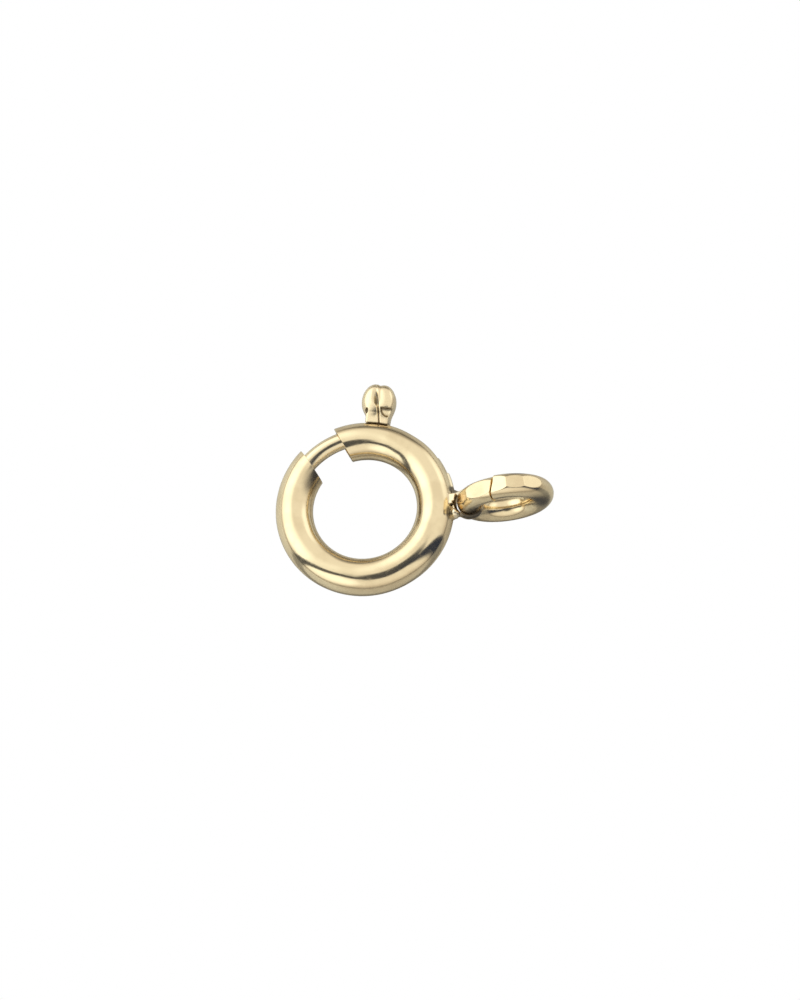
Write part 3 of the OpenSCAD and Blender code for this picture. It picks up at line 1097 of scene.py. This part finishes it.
# Each metal: colour, rubbed colour, roughness, wear, relief in millimetres
METALS = {
    "ring_gold": ((0.92, 0.77, 0.53), (0.82, 0.67, 0.45), 0.125, 0.8, 0.002),
    "bolt_gold": ((0.92, 0.78, 0.55), (0.88, 0.70, 0.48), 0.16, 0.4, 0.001),
    "trigger_gold": ((0.93, 0.78, 0.54), (0.86, 0.66, 0.46), 0.2, 0.6, 0.002),
    "jump_ring_gold": ((0.92, 0.77, 0.52), (0.82, 0.66, 0.44), 0.15, 0.8, 0.002),
    "solder_gold": ((0.92, 0.80, 0.60), (0.82, 0.66, 0.46), 0.28, 0.8, 0.003),
    "spring_steel": ((0.6, 0.59, 0.57), (0.5, 0.47, 0.44), 0.25, 0.4, 0.001),
}


def polish_group():
    """Worn polish: soft colour drift, rubbed spots and fine hairlines, from the piece's own place, darkened
    by the painted shade.
    """
    tree = bpy.data.node_groups.new("worn_polish_and_painted_shade", "ShaderNodeTree")
    face = tree.interface
    for name in ("Gold", "Rubbed"):
        face.new_socket(name, in_out="INPUT", socket_type="NodeSocketColor")
    for name in ("Roughness", "Wear", "Grime"):
        face.new_socket(name, in_out="INPUT", socket_type="NodeSocketFloat")
    face.new_socket("Colour", in_out="OUTPUT", socket_type="NodeSocketColor")
    face.new_socket("Roughness", in_out="OUTPUT", socket_type="NodeSocketFloat")
    face.new_socket("Height", in_out="OUTPUT", socket_type="NodeSocketFloat")
    put = Nodes(tree)
    given = put("NodeGroupInput").outputs
    place = put("ShaderNodeTexCoord").outputs["Object"]
    noise = "ShaderNodeTexNoise"
    drift = put(noise, Vector=place, Scale=DRIFT_SCALE, Detail=3.0, Roughness=0.55).outputs[0]
    spots = put(noise, Vector=place, Scale=SPOT_SCALE, Detail=4.0, Roughness=0.6).outputs[0]
    drawn_out = put(
        "ShaderNodeMapping",
        {"vector_type": "POINT"},
        Vector=place,
        Rotation=LINE_TURN,
        Scale=LINE_STRETCH,
    ).outputs[0]
    lines = put(noise, Vector=drawn_out, Scale=LINE_SCALE, Detail=2.0, Roughness=0.5).outputs[0]

    patch = put.math("MULTIPLY", put.step(drift, *RUBBED_SPAN), given["Wear"])
    colour = put.mix(patch, given["Gold"], given["Rubbed"])
    # Painted shade and painted dark reflections darken the colour
    colour = put.mix(given["Grime"], colour, PAINTED_SHADE)

    rough = put.math("MULTIPLY_ADD", put.step(spots, *SPOT_SPAN), SPOT_ROUGH, given["Roughness"])
    rough = put.math("MULTIPLY_ADD", patch, RUBBED_ROUGH, rough)
    rough = put.math("MULTIPLY_ADD", given["Grime"], PAINTED_SHADE_ROUGH, rough)

    height = put.math("MULTIPLY", drift, DRIFT_RELIEF)
    height = put.math("MULTIPLY_ADD", spots, SPOT_RELIEF, height)
    height = put.math("MULTIPLY_ADD", lines, LINE_RELIEF, height)
    put("NodeGroupOutput", Colour=colour, Roughness=rough, Height=height)
    return tree


def metal(name, group, gold, rubbed, roughness, wear, relief):
    """A polished metal whose colour, roughness and relief come from the shared polish."""
    material = bpy.data.materials.new(name)
    material.use_nodes = True
    put = Nodes(material.node_tree)
    # Each point's share of painted shade, from the mesh
    grime = put("ShaderNodeAttribute", {"attribute_name": "grime"})
    worn = put(
        "ShaderNodeGroup",
        {"node_tree": group},
        Gold=(*gold, 1),
        Rubbed=(*rubbed, 1),
        Wear=wear,
        Roughness=roughness,
        Grime=grime.outputs["Fac"],
    )
    bump = put("ShaderNodeBump", Height=worn.outputs["Height"], Strength=1.0, Distance=relief * MM)
    shader = material.node_tree.nodes["Principled BSDF"]
    put.give(shader.inputs["Metallic"], 1.0)
    put.give(shader.inputs["IOR"], METAL_IOR)
    put.give(shader.inputs["Base Color"], worn.outputs["Colour"])
    put.give(shader.inputs["Roughness"], worn.outputs["Roughness"])
    put.give(shader.inputs["Normal"], bump.outputs[0])
    return material


# Camera: the photograph's view, with the main ring's middle at its pixel of the 800 by 1000 picture

CAMERA_ELEVATION = math.radians(74.15)
CAMERA_AZIMUTH = math.radians(-0.24)
CAMERA_ROLL = math.radians(2.6)
LENS = 400.0
SENSOR = 36.0
CLIP_START = 0.01
CLIP_END = 10.0
PIXELS_PER_MM = 30.0
PICTURE_W = 800
PICTURE_H = 1000
RING_PIXEL = (365.0, 509.3)
# The direction from the clasp back to the camera
VIEW_BACK = (
    math.sin(CAMERA_AZIMUTH) * math.cos(CAMERA_ELEVATION),
    -math.cos(CAMERA_AZIMUTH) * math.cos(CAMERA_ELEVATION),
    math.sin(CAMERA_ELEVATION),
)


def camera():
    back = Vector(VIEW_BACK)
    level = Vector((math.cos(CAMERA_AZIMUTH), math.sin(CAMERA_AZIMUTH), 0))
    right = math.cos(CAMERA_ROLL) * level + math.sin(CAMERA_ROLL) * back.cross(level)
    up = back.cross(right)
    data = bpy.data.cameras.new("camera")
    data.lens = LENS
    data.sensor_width = SENSOR
    data.clip_start = CLIP_START
    data.clip_end = CLIP_END
    eye = bpy.data.objects.new("camera", data)
    bpy.context.collection.objects.link(eye)
    pixel = MM / PIXELS_PER_MM
    middle = (PICTURE_W / 2 - RING_PIXEL[0]) * pixel * right + (RING_PIXEL[1] - PICTURE_H / 2) * pixel * up
    eye.rotation_mode = "QUATERNION"
    eye.rotation_quaternion = Matrix((right, up, back)).transposed().to_quaternion()
    eye.location = middle + back * (PICTURE_H * pixel * LENS / SENSOR)
    bpy.context.scene.camera = eye
    bpy.context.scene.view_settings.view_transform = "Standard"


# Light: a white tent, bright on the left, with the dark slit that the camera looks through

TENT_TINT = (1.01, 0.95, 0.82, 1)
TENT_BRIGHT_TINT = (0.955, 0.98, 0.9, 1)
OPENING_LEFT = (0.085, 0.09, 0.095, 1)
OPENING_RIGHT = (0.03, 0.04, 0.07, 1)
# The slit's near and far edges to the south: how each leans from west to east, and its middle
NEAR_LEAN = -0.105
NEAR_EDGE = 0.185
NEAR_BLUR = (-0.02, 0.03)
FAR_LEAN = 0.1
FAR_EDGE = 0.41
FAR_BLUR_SPAN = (0.0, 0.8)
FAR_BLUR = (0.03, 0.1)
OPENING_SPAN = (-0.2, 0.6)
# The tent's own light at its foot and higher up, and its dimming right at the table
HIGH_SPAN = (0.0, 0.5)
HIGH_LIGHT = (0.58, 0.95)
FOOT_SPAN = (0.01, 0.12)
FOOT_DIM = (0.45, 1.0)
TINT_SPAN = (0.6, 1.3)
# Each brighter or darker part of the tent: its direction, where it starts and is full, and what it adds
TENT_LOBES = [
    ((-0.83, 0.36, 0.42), 0.66, 0.95, 0.75),
    ((-0.66, -0.64, 0.4), 0.85, 0.98, 0.45),
    ((0.73, 0.62, 0.28), 0.88, 0.99, 0.4),
    ((0.05, 0.99, 0.0), 0.9, 0.985, -0.36),
]
# The same for the opening round the camera
OPENING_LOBE = (VIEW_BACK, 0.915, 0.965, 1.0)
TABLE_REACH = 0.6
TABLE_GREY = (0.46, 0.46, 0.46, 1)
TABLE_GLOSS = 0.03
TABLE_IOR = 3.0
WHITE = (1, 1, 1, 1)


def tent_light():
    world = bpy.data.worlds.new("tent")
    bpy.context.scene.world = world
    world.use_nodes = True
    tree = world.node_tree
    put = Nodes(tree)
    way = put("ShaderNodeTexCoord").outputs["Generated"]
    east, north, high = put("ShaderNodeSeparateXYZ", Vector=way).outputs
    south = put.math("MULTIPLY", north, -1.0)

    def lobe(direction, low, high, amount):
        """Light that grows towards a direction."""
        node = put("ShaderNodeVectorMath", {"operation": "DOT_PRODUCT"})
        put.give(node.inputs[0], way)
        put.give(node.inputs[1], Vector(direction).normalized())
        return put.step(node.outputs["Value"], low, high, 0.0, amount)

    near_edge = put.math("MULTIPLY_ADD", east, NEAR_LEAN, NEAR_EDGE)
    far_edge = put.math("MULTIPLY_ADD", put.math("ABSOLUTE", east), FAR_LEAN, FAR_EDGE)
    far_blur = put.step(east, *FAR_BLUR_SPAN, *FAR_BLUR)
    past_near = put.step(put.math("SUBTRACT", south, near_edge), *NEAR_BLUR)
    past_far = put.math("DIVIDE", put.math("SUBTRACT", south, far_edge), far_blur)
    before_far = put.step(past_far, -1.0, 1.0, 1.0, 0.0)
    slit = put.math("MULTIPLY", past_near, before_far)
    dark = put.math("MAXIMUM", slit, lobe(*OPENING_LOBE))

    light = put.step(high, *HIGH_SPAN, *HIGH_LIGHT)
    for values in TENT_LOBES:
        light = put.math("ADD", light, lobe(*values))
    light = put.math("MULTIPLY", light, put.step(high, *FOOT_SPAN, *FOOT_DIM))
    tint = put.mix(put.step(light, *TINT_SPAN), TENT_TINT, TENT_BRIGHT_TINT)
    lit = put("ShaderNodeVectorMath", {"operation": "SCALE"}, Scale=light)
    put.give(lit.inputs[0], tint)
    opening = put.mix(put.step(east, *OPENING_SPAN), OPENING_LEFT, OPENING_RIGHT)
    put.give(tree.nodes["Background"].inputs["Color"], put.mix(dark, lit.outputs[0], opening))


def table(floor_z):
    """A white table top, seen by the camera as plain white."""
    mesh = bpy.data.meshes.new("table_top")
    corners = [(x * TABLE_REACH, y * TABLE_REACH, floor_z) for x, y in ((-1, -1), (1, -1), (1, 1), (-1, 1))]
    mesh.from_pydata(corners, [], [(0, 1, 2, 3)])
    top = bpy.data.objects.new("table_top", mesh)
    bpy.context.collection.objects.link(top)
    material = bpy.data.materials.new("table_white")
    material.use_nodes = True
    tree = material.node_tree
    tree.nodes.remove(tree.nodes["Principled BSDF"])
    put = Nodes(tree)

    def mix(share, first, second):
        node = put("ShaderNodeMixShader", Fac=share)
        put.give(node.inputs[1], first.outputs[0])
        put.give(node.inputs[2], second.outputs[0])
        return node

    matte = put("ShaderNodeBsdfDiffuse", Color=TABLE_GREY)
    gloss = put("ShaderNodeBsdfAnisotropic", Color=WHITE, Roughness=TABLE_GLOSS)
    polished = mix(put("ShaderNodeFresnel", IOR=TABLE_IOR).outputs[0], matte, gloss)
    glow = put("ShaderNodeEmission", Color=WHITE, Strength=1.0)
    both = mix(put("ShaderNodeLightPath").outputs["Is Camera Ray"], polished, glow)
    put.give(tree.nodes["Material Output"].inputs[0], both.outputs[0])
    mesh.materials.append(material)


def main():
    camera()
    tent_light()
    table(CAD_BOX[0].z)
    polish = polish_group()
    metals = {name: metal(name, polish, *values) for name, values in METALS.items()}

    settle(ring_tube(metals["ring_gold"]), "ring", "ring_gold", "ring_body")
    settle(ring_eye(metals["solder_gold"]), "ring", "ring_gold")
    settle(spring_stop(metals["ring_gold"]), "ring", "ring_gold")
    settle(bolt_rod(metals["bolt_gold"]), "bolt", "bolt_gold", "bolt")
    settle(trigger_leaves(metals["trigger_gold"]), "bolt", "trigger_gold", "trigger")
    settle(jump_ring(metals["jump_ring_gold"]), "jump", "jump_ring_gold", "jump_ring")
    spring, start, end = coil_spring(metals["spring_steel"])
    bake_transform(spring)
    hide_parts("spring")


main()
